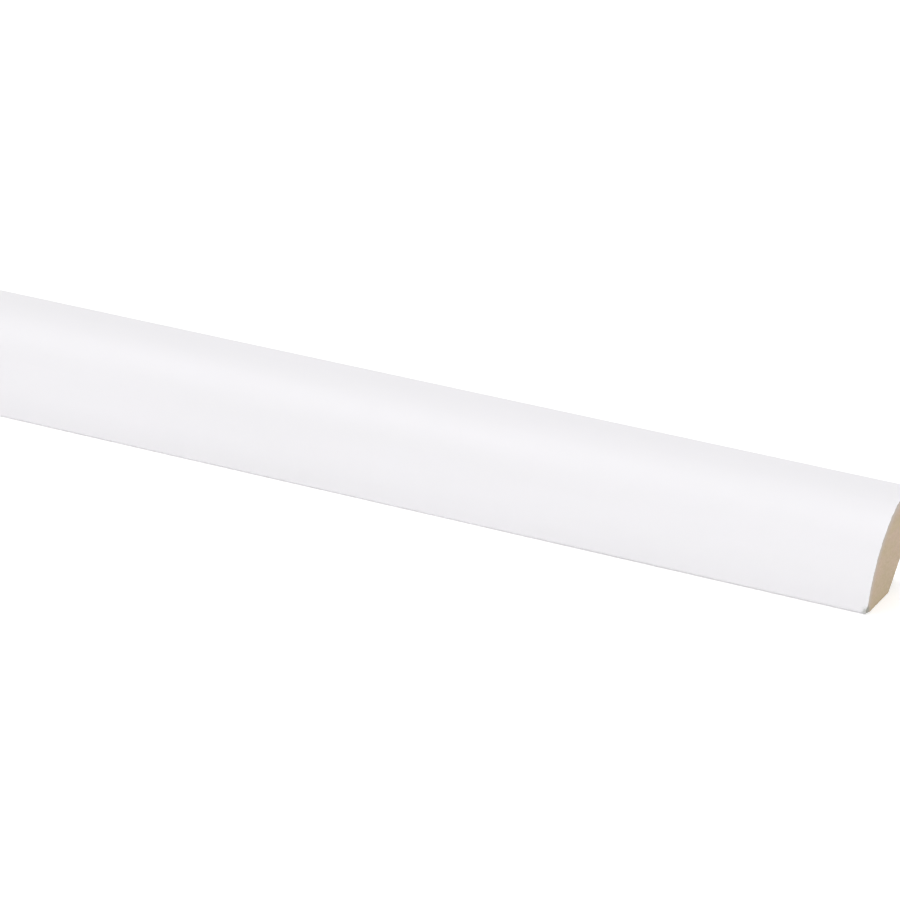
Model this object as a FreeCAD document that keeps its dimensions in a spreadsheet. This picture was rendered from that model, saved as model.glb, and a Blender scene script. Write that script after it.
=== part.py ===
import FreeCAD, Part
import os
from math import atan2, pi

import Sketcher

# Quarter round moulding
# One length of coated fibreboard trim, in millimetres. The bar runs along X and lies on its lower
# leg. Its wall leg is at the back, at +Y, and the curved face looks to the front and up. The origin
# is under the middle of the bar, half way across the lower leg.

doc = FreeCAD.newDocument("QuarterRoundMoulding")


# Driving dimensions
# The section is symmetrical about its diagonal, so one leg gives its width and its height.

sizes = {
    "leg": 18.0,  # overall width, and overall height, of the section
    "tip_radius": 0.5,  # rounding where the curved face runs into each leg
    "back_chamfer": 5.5,  # how much of each leg the cut back corner takes off
    "stock_length": 2400.0,  # length as sold, between two square saw cuts
}

sheet = doc.addObject("Spreadsheet::Sheet", "Sizes")
for row, (alias, value) in enumerate(sizes.items(), start=1):
    sheet.set(f"A{row}", alias)
    sheet.set(f"B{row}", str(value))
    sheet.setAlias(f"B{row}", alias)
doc.recompute()


# Section of the moulding, seen along the bar
# The sketch lies on the body's YZ plane: its x is the width, from the front tip at the left to the
# wall at the right, and its y is the height above the floor. The wall line and the floor line
# would meet in the virtual corner, and the curved face is an arc about that corner.

def origin_plane(body, role):
    """The body's own base plane with this role."""
    for feature in body.Origin.OriginFeatures:
        if feature.Role == role:
            return feature
    raise ValueError(f"no {role} in {body.Label}")


def arc(centre, radius, start, end):
    """A counter-clockwise arc in the sketch, with its angles in radians."""
    circle = Part.Circle(centre, FreeCAD.Vector(0, 0, 1), radius)
    return Part.ArcOfCircle(circle, start, end)


def draw_section(sketch, leg, tip_radius, back_chamfer):
    """Draws the closed outline once round, and returns the number of each edge in the sketch."""
    wall = leg / 2
    inset = leg - tip_radius
    corner = FreeCAD.Vector(wall, 0, 0)
    toe_centre = FreeCAD.Vector(wall - inset, tip_radius, 0)
    top_centre = FreeCAD.Vector(wall - tip_radius, inset, 0)
    face_radius = toe_centre.distanceToPoint(corner) + tip_radius
    turn = atan2(tip_radius, inset)

    toe_tangent = FreeCAD.Vector(toe_centre.x, 0, 0)
    floor_end = FreeCAD.Vector(wall - back_chamfer, 0, 0)
    wall_start = FreeCAD.Vector(wall, back_chamfer, 0)
    top_tangent = FreeCAD.Vector(wall, inset, 0)

    outline = {
        "floor": Part.LineSegment(toe_tangent, floor_end),
        "chamfer": Part.LineSegment(floor_end, wall_start),
        "wall": Part.LineSegment(wall_start, top_tangent),
        "top_tip": arc(top_centre, tip_radius, 0, pi / 2 + turn),
        "face": arc(corner, face_radius, pi / 2 + turn, pi - turn),
        "toe_tip": arc(toe_centre, tip_radius, pi - turn, 3 * pi / 2),
    }
    return {name: sketch.addGeometry(edge, False) for name, edge in outline.items()}


def constrain_section(sketch, edge):
    """Ties the outline to the sheet, so that no edge of it is free."""
    start, end, centre = 1, 2, 3
    origin_point = (-1, 1)
    floor_axis = -1

    def tie(kind, *what):
        return sketch.addConstraint(Sketcher.Constraint(kind, *what))

    def tie_size(name, expression, kind, *what):
        number = tie(kind, *what, sketch.evalExpression(expression))
        sketch.renameConstraint(number, name)
        sketch.setExpression(f"Constraints.{name}", expression)

    tie("Coincident", edge["floor"], end, edge["chamfer"], start)
    tie("Coincident", edge["chamfer"], end, edge["wall"], start)
    tie("Tangent", edge["wall"], end, edge["top_tip"], start)
    tie("Tangent", edge["top_tip"], end, edge["face"], start)
    tie("Tangent", edge["face"], end, edge["toe_tip"], start)
    tie("Tangent", edge["toe_tip"], end, edge["floor"], start)

    tie("Horizontal", edge["floor"])
    tie("PointOnObject", edge["floor"], start, floor_axis)
    tie("Vertical", edge["wall"])
    tie("PointOnObject", edge["face"], centre, floor_axis)
    tie("PointOnObject", edge["face"], centre, edge["wall"])
    tie("Equal", edge["toe_tip"], edge["top_tip"])

    corner = (edge["face"], centre)
    toe_centre = (edge["toe_tip"], centre)
    floor_end = (edge["floor"], end)
    wall_start = (edge["wall"], start)
    tie_size("wall_place", "Sizes.leg / 2", "DistanceX", *origin_point, *corner)
    tie_size("toe_inset", "Sizes.leg - Sizes.tip_radius", "DistanceX", *toe_centre, *corner)
    tie_size("toe_rounding", "Sizes.tip_radius", "Radius", edge["toe_tip"])
    tie_size("chamfer_on_floor", "Sizes.back_chamfer", "DistanceX", *floor_end, *corner)
    tie_size("chamfer_on_wall", "Sizes.back_chamfer", "DistanceY", *corner, *wall_start)


# The moulding: the section run both ways from the middle of the bar

body = doc.addObject("PartDesign::Body", "Moulding")
body.Label = "quarter_round_moulding"
body.Placement = FreeCAD.Placement()

section = body.newObject("Sketcher::SketchObject", "Section")
section.AttachmentSupport = [(origin_plane(body, "YZ_Plane"), "")]
section.MapMode = "FlatFace"
edges = draw_section(section, sheet.leg, sheet.tip_radius, sheet.back_chamfer)
constrain_section(section, edges)

bar = body.newObject("PartDesign::Pad", "Bar")
bar.Profile = section
bar.SideType = "Symmetric"
bar.setExpression("Length", "Sizes.stock_length")
doc.recompute()


# Check the document, then write the one piece

for item in doc.Objects:
    if "Invalid" in item.State or "Error" in item.State:
        raise RuntimeError(f"{item.Label} failed: {item.State}")
if body.Shape.isNull() or not body.Shape.isValid():
    raise RuntimeError(f"{body.Label} has no valid shape")
if not section.FullyConstrained:
    raise RuntimeError("the section has an edge that no size holds")

os.makedirs("parts", exist_ok=True)
body.Shape.exportStep(f"parts/{body.Label}.step")

box = body.Shape.BoundBox
print(f"{body.Label}: {box.XLength:.3f} x {box.YLength:.3f} x {box.ZLength:.3f} mm")
print(f"volume {body.Shape.Volume:.1f} mm3, {len(body.Shape.Faces)} faces")
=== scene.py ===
import math

import bpy
from mathutils import Matrix, Vector


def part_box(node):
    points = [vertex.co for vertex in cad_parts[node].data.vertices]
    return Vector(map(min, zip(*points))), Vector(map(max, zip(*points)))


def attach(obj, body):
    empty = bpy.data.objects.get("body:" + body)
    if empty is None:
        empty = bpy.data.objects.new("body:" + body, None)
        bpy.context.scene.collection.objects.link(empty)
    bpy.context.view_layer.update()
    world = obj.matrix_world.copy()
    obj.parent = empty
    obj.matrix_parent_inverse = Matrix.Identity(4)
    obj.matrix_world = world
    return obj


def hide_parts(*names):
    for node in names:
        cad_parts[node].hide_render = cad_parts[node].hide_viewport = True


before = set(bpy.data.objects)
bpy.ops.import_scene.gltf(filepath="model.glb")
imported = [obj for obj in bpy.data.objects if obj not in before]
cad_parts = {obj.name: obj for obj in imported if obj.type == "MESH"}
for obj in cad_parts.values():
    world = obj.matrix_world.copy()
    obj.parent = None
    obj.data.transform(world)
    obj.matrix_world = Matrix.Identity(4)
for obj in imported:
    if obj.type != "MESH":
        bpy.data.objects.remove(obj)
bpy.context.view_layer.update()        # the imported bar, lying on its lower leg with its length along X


# Small helpers for node trees

def put(tree, kind, inputs=None, **settings):
    node = tree.nodes.new(kind)
    for name, value in settings.items():
        setattr(node, name, value)
    for key, value in (inputs or {}).items():
        if isinstance(value, bpy.types.NodeSocket):
            tree.links.new(value, node.inputs[key])
        else:
            node.inputs[key].default_value = value
    return node


def calc(tree, operation, *terms, clamp=False):
    node = put(tree, "ShaderNodeMath", dict(enumerate(terms)), operation=operation, use_clamp=clamp)
    return node.outputs[0]


def vectorCalc(tree, operation, *terms):
    return put(tree, "ShaderNodeVectorMath", dict(enumerate(terms)), operation=operation).outputs[0]


def stretch(tree, vector, scale):
    return put(tree, "ShaderNodeVectorMath", {0: vector, "Scale": scale}, operation="SCALE").outputs[0]


def apart(tree, first, second):
    return put(tree, "ShaderNodeVectorMath", {0: first, 1: second}, operation="DISTANCE").outputs["Value"]


def joined(tree, x=0.0, y=0.0, z=0.0):
    return put(tree, "ShaderNodeCombineXYZ", {0: x, 1: y, 2: z}).outputs[0]


def split(tree, vector):
    return put(tree, "ShaderNodeSeparateXYZ", {0: vector}).outputs


def remap(tree, value, fromLow, fromHigh, toLow=0.0, toHigh=1.0, smooth=False):
    kind = "SMOOTHSTEP" if smooth else "LINEAR"
    span = {"Value": value, "From Min": fromLow, "From Max": fromHigh, "To Min": toLow, "To Max": toHigh}
    return put(tree, "ShaderNodeMapRange", span, interpolation_type=kind).outputs[0]


def grain(tree, vector, scale, seed, detail=2.0, roughness=0.5):
    spot = {"Vector": vector, "W": seed, "Scale": scale, "Detail": detail, "Roughness": roughness}
    return put(tree, "ShaderNodeTexNoise", spot, noise_dimensions="4D").outputs["Fac"]


def blend(tree, factor, first, second):
    return put(tree, "ShaderNodeMix", {0: factor, 6: first, 7: second}, data_type="RGBA").outputs[2]


def choose(tree, switch, first, second):
    return put(tree, "ShaderNodeMix", {0: switch, 2: first, 3: second}, data_type="FLOAT").outputs[0]


def newTree(name, kind, inputs, outputs):
    tree = bpy.data.node_groups.new(name, kind)
    for inOut, sockets in (("INPUT", inputs), ("OUTPUT", outputs)):
        for label, socketKind in sockets.items():
            tree.interface.new_socket(label, in_out=inOut, socket_type="NodeSocket" + socketKind)
    source = tree.nodes.new("NodeGroupInput").outputs
    sink = tree.nodes.new("NodeGroupOutput").inputs
    return tree, source, sink


# The section of the moulding, in metres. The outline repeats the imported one.

moulding = {
    "node": "quarter_round_moulding",
    "tip": 0.0005,  # rounding at the toe and at the top
    "chamfer": 0.0055,  # taken off the back corner, along each leg
    "ease": 0.0001,  # rounding of the chamfer's two edges
    "faceSteps": 96,
    "tipSteps": 9,
    "lapSteps": 6,
    "legSteps": 24,
    "film": 0.0002,  # thickness of the white coat
    "lap": 0.0012,  # how far the coat runs round onto each leg
}

barLow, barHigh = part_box(moulding["node"])
leg = barHigh.z - barLow.z
length = barHigh.x - barLow.x
corner = Vector((barHigh.y, barLow.z))  # where the two legs would meet
toe = corner + Vector((-leg, 0.0))
top = corner + Vector((0.0, leg))


# Runs of points, counter-clockwise seen from the right end

def arcRun(centre, radius, start, end, steps):
    run = []
    for step in range(steps + 1):
        angle = start + (end - start) * step / steps
        out = Vector((math.cos(angle), math.sin(angle)))
        run.append((centre + radius * out, out))
    return run


def straightRun(start, end, out, steps):
    return [(start.lerp(end, step / steps), out) for step in range(steps + 1)]


def coatedRun():
    # wall lap, top tip, curved face, toe tip, floor lap: point, outward direction and share of the film
    tip, lap, lapSteps = moulding["tip"], moulding["lap"], moulding["lapSteps"]
    inset = leg - tip
    faceRadius = math.hypot(inset, tip) + tip
    turn = math.atan2(tip, inset)
    quarter = math.pi / 2
    wallOut, floorOut = Vector((1.0, 0.0)), Vector((0.0, -1.0))
    wallEnd, floorEnd = top - Vector((0.0, tip)), toe + Vector((tip, 0.0))

    wallLap = straightRun(wallEnd - Vector((0.0, lap)), wallEnd, wallOut, lapSteps)
    topTip = arcRun(top + Vector((-tip, -tip)), tip, 0.0, quarter + turn, moulding["tipSteps"])
    face = arcRun(corner, faceRadius, quarter + turn, 2 * quarter - turn, moulding["faceSteps"])
    toeTip = arcRun(toe + Vector((tip, tip)), tip, 2 * quarter - turn, 3 * quarter, moulding["tipSteps"])
    floorLap = straightRun(floorEnd, floorEnd + Vector((lap, 0.0)), floorOut, lapSteps)

    rise = [math.sin(quarter * step / lapSteps) for step in range(lapSteps + 1)]
    run = [(point, out, share) for (point, out), share in zip(wallLap, rise)]
    for part in (topTip, face, toeTip):
        run += [(point, out, 1.0) for point, out in part[1:]]
    run += [(point, out, share) for (point, out), share in zip(floorLap[1:], rise[-2::-1])]
    return run


def bareRun(start, end):
    # floor leg, chamfer and wall leg, with the chamfer's edges just eased
    chamfer, ease = moulding["chamfer"], moulding["ease"]
    slope = Vector((math.sqrt(0.5), math.sqrt(0.5)))
    floorEdge, wallEdge = corner + Vector((-chamfer, 0.0)), corner + Vector((0.0, chamfer))
    along, up = Vector((1.0, 0.0)), Vector((0.0, 1.0))
    stretches = [
        (start, floorEdge - ease * along),
        (floorEdge + ease * slope, wallEdge - ease * slope),
        (wallEdge + ease * up, end),
    ]
    steps = moulding["legSteps"]
    return [point for first, last in stretches for point, out in straightRun(first, last, up, steps)]


def outlineObject(name, points, hearts, weights):
    # each point has its place on the map and a heart, the point that it closes on at the ends
    loop = points + points[:1]
    widths = [weight * (after - before).length for before, after, weight in zip(loop, loop[1:], weights)]
    mesh = bpy.data.meshes.new(name)
    mesh.from_pydata([(0.0, *point) for point in points], [], [])
    mesh.attributes.new("heart", "FLOAT_VECTOR", "POINT")
    mesh.attributes.new("around", "FLOAT", "POINT")
    for number, heart in enumerate(hearts):
        mesh.attributes["heart"].data[number].vector = (0.0, *heart)
        mesh.attributes["around"].data[number].value = sum(widths[:number]) / sum(widths)
    outline = bpy.data.objects.new(name, mesh)
    bpy.context.scene.collection.objects.link(outline)
    return outline


# Geometry Nodes: a section run along the bar and closed at both sawn ends

flatMap = {
    "name": "OFBake",
    "lanes": 8,  # the long faces lie folded into lanes
    "laneMargin": 0.02,
    "endSize": 0.30,  # each sawn end lies in a square below them
    "gap": 0.012,
}

sawCut = {
    "wander": 900.0,  # bumps a metre in the frayed rim
    "fibres": 2600.0,  # torn fibres a metre
    "rimFrom": 0.965,  # share of the way out where the fraying starts
    "flatTo": (0.94, 0.98),  # where the ridges stop, short of the rim
    "hub": 0.45,  # how far to the back the blade's hub is, in blade radii
    "crease": 0.6,  # edges that fold by more radians stay sharp
}


def sectionTree():
    tree, given, made = newTree(
        "runSection",
        "GeometryNodeTree",
        {
            "Geometry": "Geometry", "Outline": "Object", "Length": "Float", "Rings": "Int", "Rows": "Int",
            "Fray": "Float", "Ease": "Float", "Chip": "Float",
            "Knock": "Float", "Knock Reach": "Float", "Knock Spot": "Vector",
            "Saw Depth": "Float", "Saw Pitch": "Float", "Blade Radius": "Float", "Tear": "Float",
            "Seed": "Float", "Long Faces": "Material", "Sawn Ends": "Material",
        },
        {"Geometry": "Geometry"},
    )
    ring = put(tree, "GeometryNodeObjectInfo", {"Object": given["Outline"]}).outputs["Geometry"]
    count = put(tree, "GeometryNodeAttributeDomainSize", {"Geometry": ring}).outputs["Point Count"]
    rings, rows, span = given["Rings"], given["Rows"], given["Length"]
    last = calc(tree, "SUBTRACT", calc(tree, "ADD", rows, calc(tree, "MULTIPLY", rings, 2.0)), 1.0)
    across, down = calc(tree, "ADD", count, 1.0), calc(tree, "ADD", last, 1.0)
    cells = {"Size X": 1.0, "Size Y": 1.0, "Vertices X": across, "Vertices Y": down}
    grid = put(tree, "GeometryNodeMeshGrid", cells)

    def fromRing(name, number, kind):
        field = put(tree, "GeometryNodeInputNamedAttribute", {"Name": name}, data_type=kind)
        sample = {"Geometry": ring, "Value": field.outputs["Attribute"], "Index": number}
        return put(tree, "GeometryNodeSampleIndex", sample, data_type=kind).outputs[0]

    # which point of the outline and which row each corner of the grid stands for
    place = split(tree, put(tree, "GeometryNodeInputPosition").outputs[0])
    turn = calc(tree, "ROUND", calc(tree, "MULTIPLY", calc(tree, "ADD", place[0], 0.5), count))
    number = calc(tree, "FLOORED_MODULO", turn, count)
    row = calc(tree, "ROUND", calc(tree, "MULTIPLY", calc(tree, "ADD", place[1], 0.5), last))
    rim = fromRing("position", number, "FLOAT_VECTOR")
    heart = fromRing("heart", number, "FLOAT_VECTOR")

    # rows close in on the heart at both ends and stand closer together near them
    fromEnd = calc(tree, "MINIMUM", row, calc(tree, "SUBTRACT", last, row))
    spread = calc(tree, "DIVIDE", fromEnd, rings, clamp=True)
    rowsOn = calc(tree, "SUBTRACT", row, rings)
    share = calc(tree, "DIVIDE", rowsOn, calc(tree, "SUBTRACT", rows, 1.0), clamp=True)
    swing = calc(tree, "SINE", calc(tree, "MULTIPLY", calc(tree, "SUBTRACT", share, 0.5), math.pi))
    half = calc(tree, "MULTIPLY", span, 0.5)
    flat = vectorCalc(tree, "ADD", heart, stretch(tree, vectorCalc(tree, "SUBTRACT", rim, heart), spread))
    flatParts = split(tree, flat)

    # the rim is frayed and nicked, another way at each end, and one corner has had a knock
    side = calc(tree, "SIGN", swing)
    pattern = calc(tree, "ADD", given["Seed"], side)
    uneven = grain(tree, flat, sawCut["wander"], pattern, 3.0, 0.6)
    fray = calc(tree, "MULTIPLY", given["Fray"], remap(tree, spread, sawCut["rimFrom"], 1.0))
    frayed = calc(tree, "MULTIPLY", fray, remap(tree, uneven, 0.3, 0.7))
    fromKnock = apart(tree, flat, given["Knock Spot"])
    near = remap(tree, fromKnock, 0.0, given["Knock Reach"], 1.0, 0.0, smooth=True)
    knocked = calc(tree, "MULTIPLY", near, calc(tree, "GREATER_THAN", side, 0.0))
    chipRisk = calc(tree, "ADD", remap(tree, uneven, 0.42, 0.75, smooth=True), knocked)
    chipped = calc(tree, "MULTIPLY", given["Chip"], chipRisk)
    nick = calc(tree, "ADD", chipped, calc(tree, "MULTIPLY", given["Knock"], knocked))
    eased = calc(tree, "MULTIPLY", given["Ease"], calc(tree, "GREATER_THAN", spread, 0.99))
    limit = calc(tree, "SUBTRACT", calc(tree, "SUBTRACT", half, nick), calc(tree, "ADD", frayed, eased))
    reached = calc(tree, "MINIMUM", calc(tree, "MULTIPLY", half, calc(tree, "ABSOLUTE", swing)), limit)

    # ridges that the turning blade leaves on the end, and torn fibres between them
    radius = given["Blade Radius"]
    hub = joined(tree, 0.0, calc(tree, "MULTIPLY", radius, sawCut["hub"]), radius)
    sweep = calc(tree, "MULTIPLY", apart(tree, flat, hub), 2 * math.pi)
    wave = calc(tree, "DIVIDE", sweep, given["Saw Pitch"])
    ridge = calc(tree, "MULTIPLY", given["Saw Depth"], calc(tree, "ADD", calc(tree, "SINE", wave), 1.0))
    pit = calc(tree, "MULTIPLY", given["Tear"], grain(tree, flat, sawCut["fibres"], pattern, 3.0, 0.65))
    onEnd = calc(tree, "GREATER_THAN", calc(tree, "ABSOLUTE", swing), 0.999999)
    inner = calc(tree, "MULTIPLY", remap(tree, spread, *sawCut["flatTo"], 1.0, 0.0), onEnd)
    sunk = calc(tree, "MULTIPLY", inner, calc(tree, "ADD", ridge, pit))
    along = calc(tree, "MULTIPLY", side, calc(tree, "SUBTRACT", reached, sunk))

    # the grid's own place is kept for the map until the grid has lost its shape
    kept = put(
        tree,
        "GeometryNodeStoreNamedAttribute",
        {"Geometry": grid.outputs["Mesh"], "Name": "gridPlace", "Value": grid.outputs["UV Map"]},
        data_type="FLOAT2",
        domain="CORNER",
    ).outputs[0]
    target = joined(tree, along, flatParts[1], flatParts[2])
    bent = put(tree, "GeometryNodeSetPosition", {"Geometry": kept, "Position": target}).outputs[0]
    closed = put(tree, "GeometryNodeMergeByDistance", {"Geometry": bent, "Distance": 1e-6}).outputs[0]

    # the map: lane and place in the lane for the long faces, a flat view for the ends
    lanes, endSize, gap = float(flatMap["lanes"]), flatMap["endSize"], flatMap["gap"]
    stored = put(tree, "GeometryNodeInputNamedAttribute", {"Name": "gridPlace"}, data_type="FLOAT_VECTOR")
    gridParts = split(tree, stored.outputs["Attribute"])
    mapTurn = calc(tree, "ROUND", calc(tree, "MULTIPLY", gridParts[0], count))
    mapNumber = calc(tree, "FLOORED_MODULO", mapTurn, count)
    wrapped = calc(tree, "GREATER_THAN", mapTurn, calc(tree, "SUBTRACT", count, 0.5))
    around = calc(tree, "MAXIMUM", fromRing("around", mapNumber, "FLOAT"), wrapped)
    here = split(tree, put(tree, "GeometryNodeInputPosition").outputs[0])

    def overFace(field):
        settings = {"domain": "FACE", "data_type": "FLOAT"}
        return put(tree, "GeometryNodeFieldOnDomain", {0: field}, **settings).outputs[0]

    def inLanes(position):
        return calc(tree, "MULTIPLY", calc(tree, "ADD", calc(tree, "DIVIDE", position, span), 0.5), lanes)

    mapRow = calc(tree, "MULTIPLY", overFace(gridParts[1]), last)
    rowFromEnd = calc(tree, "MINIMUM", mapRow, calc(tree, "SUBTRACT", last, mapRow))
    endFace = calc(tree, "LESS_THAN", rowFromEnd, rings)
    lane = calc(tree, "MINIMUM", calc(tree, "FLOOR", inLanes(overFace(here[0]))), lanes - 1.0)
    margin = flatMap["laneMargin"]
    acrossLane = remap(tree, around, 0.0, 1.0, margin, 1.0 - margin)
    laneU = calc(tree, "DIVIDE", calc(tree, "ADD", lane, acrossLane), lanes)
    downLane = calc(tree, "SUBTRACT", inLanes(here[0]), lane)
    laneV = remap(tree, downLane, 0.0, 1.0, endSize + 2 * gap, 1.0 - gap)
    endStart = calc(tree, "MULTIPLY", calc(tree, "GREATER_THAN", overFace(here[0]), 0.0), endSize + 2 * gap)
    endU = calc(tree, "ADD", endStart, remap(tree, here[1], toe.x, corner.x, gap, endSize))
    endV = remap(tree, here[2], toe.y, top.y, gap, endSize)
    laid = joined(tree, choose(tree, endFace, laneU, endU), choose(tree, endFace, laneV, endV))
    mapped = put(
        tree,
        "GeometryNodeStoreNamedAttribute",
        {"Geometry": closed, "Name": flatMap["name"], "Value": laid},
        data_type="FLOAT2",
        domain="CORNER",
    ).outputs[0]
    cleared = put(tree, "GeometryNodeRemoveAttribute", {"Geometry": mapped, "Name": "gridPlace"}).outputs[0]

    # smooth faces, sharp at the sawn edges
    smooth = put(tree, "GeometryNodeSetShadeSmooth", {"Geometry": cleared}, domain="FACE").outputs[0]
    fold = put(tree, "GeometryNodeInputMeshEdgeAngle").outputs["Unsigned Angle"]
    folded = calc(tree, "GREATER_THAN", fold, sawCut["crease"])
    sharp = {"Geometry": smooth, "Selection": folded, "Shade Smooth": False}
    creased = put(tree, "GeometryNodeSetShadeSmooth", sharp, domain="EDGE").outputs[0]
    whole = put(tree, "GeometryNodeRealizeInstances", {"Geometry": creased}).outputs[0]
    milled = {"Geometry": whole, "Material": given["Long Faces"]}
    longDone = put(tree, "GeometryNodeSetMaterial", milled).outputs[0]
    facing = split(tree, put(tree, "GeometryNodeInputNormal").outputs[0])[0]
    facesEnd = calc(tree, "GREATER_THAN", calc(tree, "ABSOLUTE", facing), 0.6)
    sawn = {"Geometry": longDone, "Selection": facesEnd, "Material": given["Sawn Ends"]}
    tree.links.new(put(tree, "GeometryNodeSetMaterial", sawn).outputs[0], made["Geometry"])
    return tree


def runSection(name, tree, values):
    # the modifier works on an empty mesh, and what it makes becomes the piece's own plain mesh
    blank = bpy.data.objects.new(name + "Blank", bpy.data.meshes.new(name + "Blank"))
    bpy.context.scene.collection.objects.link(blank)
    modifier = blank.modifiers.new("runSection", "NODES")
    modifier.node_group = tree
    sockets = {item.name: item.identifier for item in tree.interface.items_tree if item.in_out == "INPUT"}
    for label, value in values.items():
        modifier[sockets[label]] = value
    mesh = bpy.data.meshes.new_from_object(blank.evaluated_get(bpy.context.evaluated_depsgraph_get()))
    mesh.name = name
    mesh.materials.pop(index=0)  # the grid's own empty slot
    blank.modifiers.clear()
    piece = bpy.data.objects.new(name, mesh)
    bpy.context.scene.collection.objects.link(piece)
    bpy.data.objects.remove(blank)
    bpy.data.objects.remove(values["Outline"])
    print(name + ":", len(mesh.polygons), "faces")
    return piece


# Shader node groups that more than one finish uses

def fibreGroup():
    # pressed wood fibre: it lies flat in the board, so its marks are drawn out sideways
    tree, given, made = newTree(
        "boardFibre",
        "ShaderNodeTree",
        {"Vector": "Vector", "Fibre": "Float", "Cloud": "Float", "Drawn": "Vector", "Seed": "Float"},
        {"Flecks": "Float", "Clouds": "Float", "Specks": "Float", "Fuzz": "Float"},
    )
    lying = vectorCalc(tree, "MULTIPLY", given["Vector"], given["Drawn"])
    fine = calc(tree, "DIVIDE", 1.0, given["Fibre"])
    coarse = calc(tree, "DIVIDE", 1.0, given["Cloud"])
    otherSeed = calc(tree, "ADD", given["Seed"], 4.0)
    drawnOut = grain(tree, lying, fine, given["Seed"], 3.0, 0.6)
    short = grain(tree, given["Vector"], calc(tree, "MULTIPLY", fine, 2.3), given["Seed"], 2.0, 0.6)
    both = calc(tree, "ADD", calc(tree, "MULTIPLY", drawnOut, 0.6), calc(tree, "MULTIPLY", short, 0.4))
    speck = grain(tree, lying, calc(tree, "MULTIPLY", fine, 1.6), otherSeed, 2.0, 0.55)
    drift = grain(tree, lying, coarse, given["Seed"], 3.0, 0.55)
    tree.links.new(remap(tree, both, 0.34, 0.66), made["Flecks"])
    tree.links.new(remap(tree, drift, 0.3, 0.7), made["Clouds"])
    tree.links.new(remap(tree, speck, 0.62, 0.70), made["Specks"])
    fuzz = grain(tree, lying, calc(tree, "MULTIPLY", fine, 1.7), otherSeed, 4.0, 0.7)
    tree.links.new(fuzz, made["Fuzz"])
    return tree


spray = {
    "slack": 0.0002,  # a point this near a leg's plane counts as on the leg
    "chamferSlack": 0.0001,
    "specks": 2600.0,  # specks a metre along the ragged edge
}


def lapGroup():
    # 0 on the curved face, rising to 1 where a leg is out of the spray's reach, along a ragged line
    tree, given, made = newTree(
        "sprayReach",
        "ShaderNodeTree",
        {"Vector": "Vector", "Reach": "Float", "Fade": "Float", "Ragged": "Float", "Seed": "Float"},
        {"Bare": "Float"},
    )
    spot = split(tree, given["Vector"])
    onFloor = calc(tree, "LESS_THAN", spot[2], toe.y + spray["slack"])
    onWall = calc(tree, "GREATER_THAN", spot[1], corner.x - spray["slack"])
    fromToe = calc(tree, "MULTIPLY", calc(tree, "SUBTRACT", spot[1], toe.x), onFloor)
    fromTop = calc(tree, "MULTIPLY", calc(tree, "SUBTRACT", top.y, spot[2]), onWall)
    chamferFrom = corner.x - moulding["chamfer"] - spray["chamferSlack"]
    onChamfer = calc(tree, "GREATER_THAN", calc(tree, "SUBTRACT", spot[1], spot[2]), chamferFrom)
    distance = calc(tree, "MAXIMUM", calc(tree, "MAXIMUM", fromToe, fromTop), onChamfer)
    fine = grain(tree, given["Vector"], spray["specks"], given["Seed"], 4.0, 0.7)
    rag = calc(tree, "SUBTRACT", fine, 0.5)
    shaken = calc(tree, "ADD", distance, calc(tree, "MULTIPLY", rag, given["Ragged"]))
    stop = calc(tree, "ADD", given["Reach"], given["Fade"])
    tree.links.new(remap(tree, shaken, given["Reach"], stop, smooth=True), made["Bare"])
    return tree


knock = {
    "spot": (barHigh.x, toe.x + 0.0006, toe.y + 0.0005),  # the toe's corner at the right end
    "reach": 0.0014,
    "depth": 0.00022,
    # dark grey patch at the toe's corner: soil on the knock, and painted shade where the toe meets the
    # floor
    "soilAndShade": (0.330, 0.336, 0.300, 1.0),
    "cover": 0.85,  # how much of the colour the soil and painted shade hide
    "patches": 3200.0,  # patches a metre
}


def knockGroup():
    # soil and painted shade round one knocked spot
    tree, given, made = newTree(
        "knockedSpot",
        "ShaderNodeTree",
        {"Vector": "Vector", "Spot": "Vector", "Reach": "Float", "Seed": "Float"},
        {"Soil And Shade": "Float"},
    )
    distance = apart(tree, given["Vector"], given["Spot"])
    patches = grain(tree, given["Vector"], knock["patches"], given["Seed"], 4.0, 0.7)
    patchy = calc(tree, "MULTIPLY", patches, given["Reach"])
    fading = calc(tree, "DIVIDE", calc(tree, "ADD", distance, patchy), given["Reach"])
    tree.links.new(remap(tree, fading, 0.85, 1.45, 1.0, 0.0, smooth=True), made["Soil And Shade"])
    return tree


fibre, sprayReach, knockedSpot = fibreGroup(), lapGroup(), knockGroup()


def newFinish(name, specular):
    finish = bpy.data.materials.new(name)
    finish.use_nodes = True
    tree = finish.node_tree
    tree.nodes.clear()
    shader = put(tree, "ShaderNodeBsdfPrincipled", {"IOR": 1.5, "Specular IOR Level": specular})
    put(tree, "ShaderNodeOutputMaterial", {"Surface": shader.outputs[0]})
    return finish, tree, shader.inputs, put(tree, "ShaderNodeTexCoord").outputs["Object"]


def feed(tree, inputs, colour, roughness, height, depth):
    bump = put(tree, "ShaderNodeBump", {"Height": height, "Distance": depth, "Strength": 1.0})
    tree.links.new(colour, inputs["Base Color"])
    tree.links.new(roughness, inputs["Roughness"])
    tree.links.new(bump.outputs[0], inputs["Normal"])


# darkens the colour round the knocked toe corner: soil, and painted shade by the floor
def soiledAndShaded(tree, spot, colour):
    values = {"Vector": spot, "Spot": knock["spot"], "Reach": knock["reach"], "Seed": 3.0}
    soilAndShade = put(tree, "ShaderNodeGroup", values, node_tree=knockedSpot).outputs["Soil And Shade"]
    return blend(tree, calc(tree, "MULTIPLY", soilAndShade, knock["cover"]), colour, knock["soilAndShade"])


# The board: pressed fibre, milled along its legs and sawn at its ends

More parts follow.
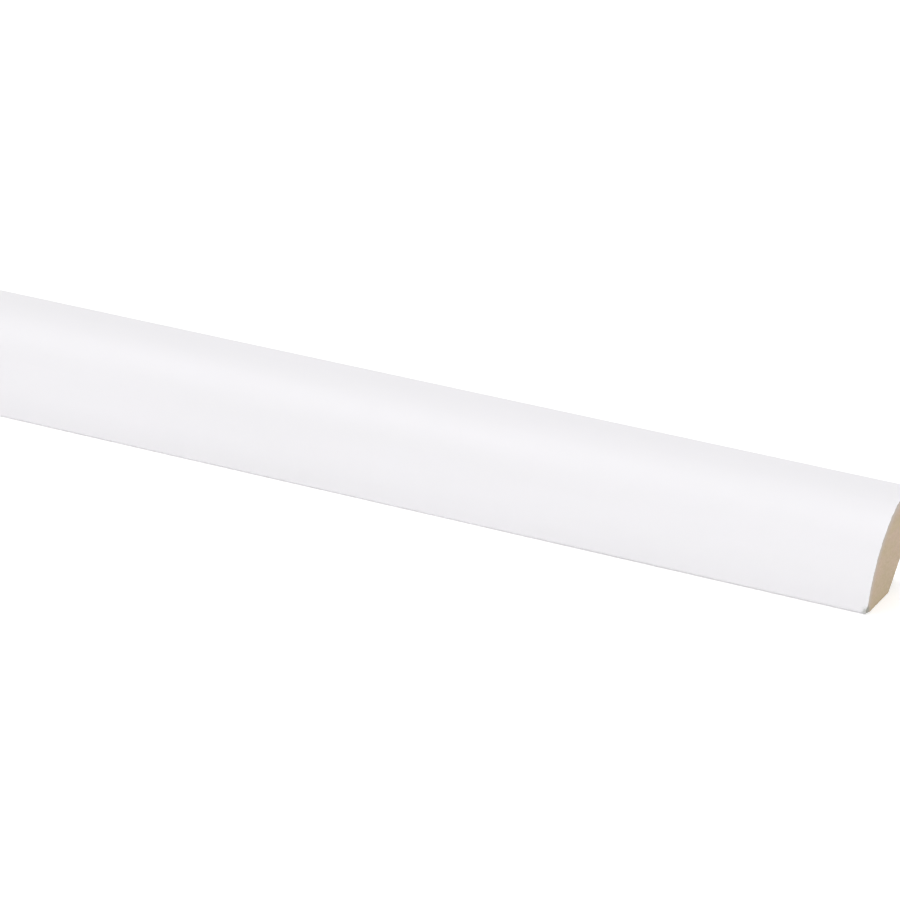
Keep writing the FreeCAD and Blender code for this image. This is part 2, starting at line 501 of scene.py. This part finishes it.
board = {
    "light": (0.590, 0.460, 0.340, 1.0),
    "dark": (0.425, 0.330, 0.228, 1.0),
    "rosy": (0.580, 0.440, 0.368, 1.0),
    "olive": (0.490, 0.426, 0.262, 1.0),
    "bark": (0.300, 0.225, 0.150, 1.0),
    "sealed": (0.520, 0.465, 0.425, 1.0),  # where the coat has soaked in
    "sealedDepth": 0.0024,
    "sealedShare": 0.95,
    "skin": 0.0022,  # denser layer along the board's underside
    "skinShare": 0.5,
    "rim": 0.0007,  # darker fibre where the end meets the legs and the chamfer
    "rimShare": 0.55,
    "tint": 0.5,  # how far the clouds of rosy and olive colour the fibre
    "sawnSpecks": 0.36,
    "milledSpecks": 0.4,
    "sawnRelief": 0.00012,
    "milledRelief": 0.00004,
    "knifeMarks": 0.0016,  # from one knife mark to the next along the legs
    "scratches": 1500.0,  # scratches a metre across the legs
    "overspray": (0.800, 0.770, 0.740, 1.0),
    "mist": 0.8,  # how much of the board the spray hides beside the coat's edge
    "rings": 56,  # rings of faces across each sawn end
    "rows": 96,
    "fray": 0.00009,  # most that the saw frays the rim
    "sawDepth": 0.000016,  # height of the saw's ridges
    "sawPitch": 0.0011,
    "bladeRadius": 0.127,
    "tear": 0.00003,  # roughness between the ridges
}


def sawnMaterial():
    finish, tree, inputs, spot = newFinish("sawnFibreboard", 0.3)
    drawn = (0.55, 0.55, 1.6)
    body = {"Vector": spot, "Fibre": 0.0006, "Cloud": 0.0042, "Drawn": drawn, "Seed": 2.0}
    marks = put(tree, "ShaderNodeGroup", body, node_tree=fibre).outputs
    parts = split(tree, spot)
    fromCorner = apart(tree, joined(tree, 0.0, parts[1], parts[2]), (0.0, corner.x, corner.y))
    underCoat = leg - moulding["film"]
    sealed = remap(tree, fromCorner, underCoat - board["sealedDepth"], underCoat, smooth=True)
    dense = remap(tree, parts[2], 0.0, board["skin"], 1.0, 0.0, smooth=True)

    tint = blend(tree, marks["Clouds"], board["rosy"], board["olive"])
    grained = blend(tree, marks["Flecks"], board["light"], board["dark"])
    mixed = blend(tree, board["tint"], grained, tint)
    denser = blend(tree, calc(tree, "MULTIPLY", dense, board["skinShare"]), mixed, board["olive"])
    toWall = calc(tree, "SUBTRACT", corner.x, parts[1])
    beyond = calc(tree, "SUBTRACT", calc(tree, "ADD", toWall, parts[2]), corner.y + moulding["chamfer"])
    toChamfer = calc(tree, "MULTIPLY", beyond, math.sqrt(0.5))
    toLeg = calc(tree, "MINIMUM", calc(tree, "MINIMUM", toWall, parts[2]), toChamfer)
    darker = remap(tree, toLeg, 0.0, board["rim"], board["rimShare"], 0.0, smooth=True)
    rimmed = blend(tree, darker, denser, board["dark"])
    specks = calc(tree, "MULTIPLY", marks["Specks"], board["sawnSpecks"])
    specked = blend(tree, specks, rimmed, board["bark"])
    edged = blend(tree, calc(tree, "MULTIPLY", sealed, board["sealedShare"]), specked, board["sealed"])

    close = {"Vector": spot, "Fibre": 0.00035, "Cloud": 0.004, "Drawn": drawn, "Seed": 6.0}
    relief = put(tree, "ShaderNodeGroup", close, node_tree=fibre).outputs
    height = calc(tree, "SUBTRACT", relief["Fuzz"], calc(tree, "MULTIPLY", marks["Specks"], 0.2))
    roughness = remap(tree, marks["Fuzz"], 0.3, 0.7, 0.8, 0.95)
    feed(tree, inputs, soiledAndShaded(tree, spot, edged), roughness, height, board["sawnRelief"])
    return finish


def milledMaterial():
    finish, tree, inputs, spot = newFinish("milledFibreboard", 0.35)
    body = {"Vector": spot, "Fibre": 0.0009, "Cloud": 0.012, "Drawn": (0.5, 1.0, 1.0), "Seed": 8.0}
    marks = put(tree, "ShaderNodeGroup", body, node_tree=fibre).outputs
    drawnLong = vectorCalc(tree, "MULTIPLY", spot, (0.02, 1.0, 1.0))
    knives = grain(tree, drawnLong, board["scratches"], 5.0, 2.0, 0.5)
    perMetre = 2 * math.pi / board["knifeMarks"]
    chatter = calc(tree, "SINE", calc(tree, "MULTIPLY", split(tree, spot)[0], perMetre))

    tint = blend(tree, marks["Clouds"], board["rosy"], board["olive"])
    grained = blend(tree, marks["Flecks"], board["light"], board["dark"])
    mixed = blend(tree, board["tint"], grained, tint)
    lined = blend(tree, remap(tree, knives, 0.4, 0.7, 0.0, 0.3), mixed, board["dark"])
    specks = calc(tree, "MULTIPLY", marks["Specks"], board["milledSpecks"])
    specked = blend(tree, specks, lined, board["bark"])
    drift = {"Vector": spot, "Reach": 0.0011, "Fade": 0.0024, "Ragged": 0.0040, "Seed": 4.0}
    bare = put(tree, "ShaderNodeGroup", drift, node_tree=sprayReach).outputs["Bare"]
    misted = blend(tree, remap(tree, bare, 0.0, 1.0, board["mist"], 0.0), specked, board["overspray"])

    roughness = remap(tree, marks["Fuzz"], 0.3, 0.7, 0.68, 0.82)
    planed = calc(tree, "ADD", calc(tree, "MULTIPLY", knives, 0.6), calc(tree, "MULTIPLY", chatter, 0.06))
    height = calc(tree, "ADD", calc(tree, "MULTIPLY", marks["Fuzz"], 0.5), planed)
    feed(tree, inputs, misted, roughness, height, board["milledRelief"])
    return finish


def boardOutline():
    run = coatedRun()
    bedded = [point - moulding["film"] * share * out for point, out, share in run]
    bare = bareRun(bedded[-1], bedded[0])[1:-1]
    points = bedded + bare
    middle = sum(points, Vector((0.0, 0.0))) / len(points)
    hidden = 0.15  # little of the map goes under the coat
    weights = [hidden] * (len(bedded) - 1) + [1.0] * (len(bare) + 1)
    return outlineObject("boardOutline", points, [middle] * len(points), weights)


sectionRun = sectionTree()
sawnBoard, milledBoard = sawnMaterial(), milledMaterial()
bothPieces = {
    "Length": length,
    "Knock": knock["depth"], "Knock Reach": knock["reach"], "Knock Spot": (0.0, *knock["spot"][1:]),
    "Saw Pitch": board["sawPitch"], "Blade Radius": board["bladeRadius"],
}
mdfCore = runSection("mdfCore", sectionRun, {
    **bothPieces,
    "Outline": boardOutline(), "Rings": board["rings"], "Rows": board["rows"], "Seed": 11.0,
    "Fray": board["fray"], "Ease": 0.0, "Chip": 0.0,
    "Saw Depth": board["sawDepth"], "Tear": board["tear"],
    "Long Faces": milledBoard, "Sawn Ends": sawnBoard,
})


# The coat: a white film over the curved face, lapping a little way onto each leg

primer = {
    "white": (0.885, 0.872, 0.898, 1.0),
    "thin": (0.868, 0.858, 0.879, 1.0),
    "grime": (0.700, 0.695, 0.700, 1.0),  # painted shade along the underside of the toe, where it meets the floor
    "toeShadeHeight": 0.0007,
    "toeShadeFrom": (0.075, 0.045),  # distance from the right end over which the painted shade sets in
    "grimeStart": 0.0001,
    "streaks": 120.0,  # streaks a metre across the face
    "relief": 0.000012,
    "peel": 0.0013,  # width of the sprayed texture's bumps
    "rings": 2,
    "rows": 96,
    "ease": 0.00018,  # how far the film's cut edge is rounded back
    "chip": 0.00012,  # deepest nick in the coat along a sawn edge
}


def primerMaterial():
    finish, tree, inputs, spot = newFinish("whitePrimer", 0.5)
    under = {"Vector": spot, "Fibre": 0.0004, "Cloud": 0.02, "Drawn": (0.5, 1.0, 1.0), "Seed": 5.0}
    marks = put(tree, "ShaderNodeGroup", under, node_tree=fibre).outputs
    drawn = vectorCalc(tree, "MULTIPLY", spot, (0.12, 1.0, 1.0))
    streaks = remap(tree, grain(tree, drawn, primer["streaks"], 3.0, 3.0, 0.55), 0.3, 0.7)
    height = split(tree, spot)[2]
    # painted shade: a mottled darker band along the toe's underside by the floor, only near the right end
    toeShadeMottle = grain(tree, vectorCalc(tree, "MULTIPLY", spot, (1.0, 0.0, 0.0)), 16.0, 6.0, 4.0, 0.6)
    lowFrom, lowTo = toe.y + primer["grimeStart"], toe.y + primer["toeShadeHeight"]
    low = remap(tree, height, lowFrom, lowTo, 1.0, 0.0, smooth=True)
    setsIn = [barHigh.x - far for far in primer["toeShadeFrom"]]
    nearRightEnd = remap(tree, split(tree, spot)[0], *setsIn, smooth=True)
    lowNearRightEnd = calc(tree, "MULTIPLY", low, nearRightEnd)
    grime = calc(tree, "MULTIPLY", lowNearRightEnd, remap(tree, toeShadeMottle, 0.30, 0.55, 0.1, 0.4))
    edge = {"Vector": spot, "Reach": 0.0010, "Fade": 0.0004, "Ragged": 0.0014, "Seed": 4.0}
    bare = put(tree, "ShaderNodeGroup", edge, node_tree=sprayReach).outputs["Bare"]

    even = blend(tree, streaks, primer["white"], primer["thin"])
    # the painted shade darkens the white along the toe
    toeShaded = blend(tree, grime, even, primer["grime"])
    thinned = blend(tree, board["mist"], board["light"], board["overspray"])
    worn = blend(tree, bare, toeShaded, thinned)
    peel = grain(tree, spot, 1 / primer["peel"], 1.0, 1.5, 0.4)
    relief = calc(tree, "ADD", peel, calc(tree, "MULTIPLY", marks["Fuzz"], 0.35))
    roughness = remap(tree, grain(tree, spot, 260.0, 7.0, 3.0), 0.25, 0.75, 0.40, 0.50)
    feed(tree, inputs, soiledAndShaded(tree, spot, worn), roughness, relief, primer["relief"])
    return finish


def primerOutline():
    run = coatedRun()
    outside = [point for point, out, share in run]
    inside = [point - moulding["film"] * share * out for point, out, share in run]
    middles = [near.lerp(far, 0.5) for near, far in zip(outside, inside)]
    hidden = 0.12  # little of the map goes underneath
    weights = [1.0] * (len(outside) - 1) + [hidden] * (len(inside) - 1)
    return outlineObject("primerOutline", outside + inside[-2:0:-1], middles + middles[-2:0:-1], weights)


whitePrimer = primerMaterial()
whiteCoat = runSection("whiteCoat", sectionRun, {
    **bothPieces,
    "Outline": primerOutline(), "Rings": primer["rings"], "Rows": primer["rows"], "Seed": 23.0,
    "Fray": 0.0, "Ease": primer["ease"], "Chip": primer["chip"],
    "Saw Depth": 0.0, "Tear": 0.0,
    "Long Faces": whitePrimer, "Sawn Ends": whitePrimer,
})

for piece in (mdfCore, whiteCoat):
    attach(piece, "root")
    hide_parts(moulding["node"])


# Camera: at the photograph's angle, with the right end's back corner at its place in the picture

view = {
    "azimuth": 22.02,  # degrees round from the front, towards the right end
    "elevation": 19.30,
    "roll": 4.91,
    "lens": 153.1,
    "sensor": 36.0,
    "picture": 900.0,
    "cornerPixel": (898.1, 582.95),  # where the legs would meet, at the sawn end
    "cornerDepth": 0.6619,
}


def placeCamera():
    azimuth, elevation, roll = (math.radians(view[name]) for name in ("azimuth", "elevation", "roll"))
    ahead = Vector((
        -math.sin(azimuth) * math.cos(elevation),
        math.cos(azimuth) * math.cos(elevation),
        -math.sin(elevation),
    ))
    level = Vector((math.cos(azimuth), math.sin(azimuth), 0.0))
    right = math.cos(roll) * level + math.sin(roll) * level.cross(ahead)
    up = right.cross(ahead)
    pixels = view["lens"] / view["sensor"] * view["picture"]  # focal length in pixels
    offX, offY = ((value - view["picture"] / 2) / pixels for value in view["cornerPixel"])
    camera = bpy.data.objects.new("camera", bpy.data.cameras.new("camera"))
    camera.data.lens, camera.data.sensor_width = view["lens"], view["sensor"]
    camera.data.clip_start, camera.data.clip_end = 0.05, 100.0
    camera.matrix_world = Matrix((right, up, -ahead)).transposed().to_4x4()
    endCorner = Vector((barHigh.x, *corner))
    camera.location = endCorner - view["cornerDepth"] * (ahead + offX * right - offY * up)
    bpy.context.scene.collection.objects.link(camera)
    bpy.context.scene.camera = camera


placeCamera()
print("camera placed")


# Studio: white floor, white surroundings and five soft boxes

studio = {
    "surround": 0.504,  # light of the room
    "floor": 0.9,
    "floorLift": 0.31,
    "farLift": 0.56,  # where the lamps reach less
    "farFrom": (0.5, 2.2),
    "squeeze": 0.45,  # the lit patch is long, like the bar
    "floorSize": 60.0,
    "gap": 0.00001,  # between the floor and the bar's underside
    "lampAim": (0.8, 0.0, 0.01),
    "lampDistance": 2.6,
}

softBoxes = {
    "overheadBox": {"turn": 0.0, "rise": 86.0, "size": (8.0, 0.4), "watts": 47.6},
    "frontBox": {"turn": 0.0, "rise": 13.0, "size": (8.0, 0.8), "watts": 30.5},
    "endBox": {"turn": 90.0, "rise": 8.0, "size": (1.6, 0.8), "watts": 11.8},
    "backBox": {"turn": 180.0, "rise": 12.0, "size": (8.0, 0.8), "watts": 10.0},
    "leftBox": {"turn": -90.0, "rise": 8.0, "size": (1.6, 0.8), "watts": 1.4},
}


def seenDirectly(tree):
    # 1 for what the camera, a reflection or glass looks at, 0 for light on the object
    path = put(tree, "ShaderNodeLightPath").outputs
    mirrored = calc(tree, "ADD", path["Is Glossy Ray"], path["Is Transmission Ray"])
    return calc(tree, "ADD", path["Is Camera Ray"], mirrored, clamp=True)


def whiteSurround():
    world = bpy.data.worlds.new("whiteSurround")
    world.use_nodes = True
    tree = world.node_tree
    tree.nodes.clear()
    strength = remap(tree, seenDirectly(tree), 0.0, 1.0, studio["surround"], 1.0)
    light = put(tree, "ShaderNodeBackground", {"Color": (1.0, 1.0, 1.0, 1.0), "Strength": strength})
    put(tree, "ShaderNodeOutputWorld", {"Surface": light.outputs[0]})
    bpy.context.scene.world = world


def paleFloor():
    side, low, shade = studio["floorSize"] / 2, barLow.z - studio["gap"], studio["floor"]
    mesh = bpy.data.meshes.new("floor")
    corners = [(-side, -side, low), (side, -side, low), (side, side, low), (-side, side, low)]
    mesh.from_pydata(corners, [], [(0, 1, 2, 3)])
    floor = bpy.data.objects.new("floor", mesh)
    bpy.context.scene.collection.objects.link(floor)
    paint = bpy.data.materials.new("paleFloor")
    paint.use_nodes = True
    tree = paint.node_tree
    tree.nodes.clear()
    matt = put(tree, "ShaderNodeBsdfDiffuse", {"Color": (shade, shade, shade, 1.0)})
    place = put(tree, "ShaderNodeTexCoord").outputs["Object"]
    squeezed = vectorCalc(tree, "MULTIPLY", place, (studio["squeeze"], 1.0, 0.0))
    fromMiddle = apart(tree, squeezed, (0.0, 0.0, 0.0))
    lift = remap(tree, fromMiddle, *studio["farFrom"], studio["floorLift"], studio["farLift"])
    glow = put(tree, "ShaderNodeEmission", {"Strength": calc(tree, "MULTIPLY", seenDirectly(tree), lift)})
    both = put(tree, "ShaderNodeAddShader", {0: matt.outputs[0], 1: glow.outputs[0]})
    put(tree, "ShaderNodeOutputMaterial", {"Surface": both.outputs[0]})
    mesh.materials.append(paint)


def hangSoftBoxes():
    # turn goes round from the front towards the right end, rise goes up from the floor
    aim = Vector(studio["lampAim"])
    for name, box in softBoxes.items():
        lamp = bpy.data.lights.new(name, "AREA")
        lamp.shape = "RECTANGLE"
        lamp.size, lamp.size_y = box["size"]
        lamp.energy = box["watts"]
        turn, rise = math.radians(box["turn"]), math.radians(box["rise"])
        away = Vector((math.sin(turn) * math.cos(rise), -math.cos(turn) * math.cos(rise), math.sin(rise)))
        level = Vector((math.cos(turn), math.sin(turn), 0.0))
        hung = bpy.data.objects.new(name, lamp)
        hung.matrix_world = Matrix((level, away.cross(level), away)).transposed().to_4x4()
        hung.location = aim + studio["lampDistance"] * away
        bpy.context.scene.collection.objects.link(hung)


whiteSurround()
paleFloor()
hangSoftBoxes()
bpy.context.scene.view_settings.view_transform = "Standard"
print("studio lit")
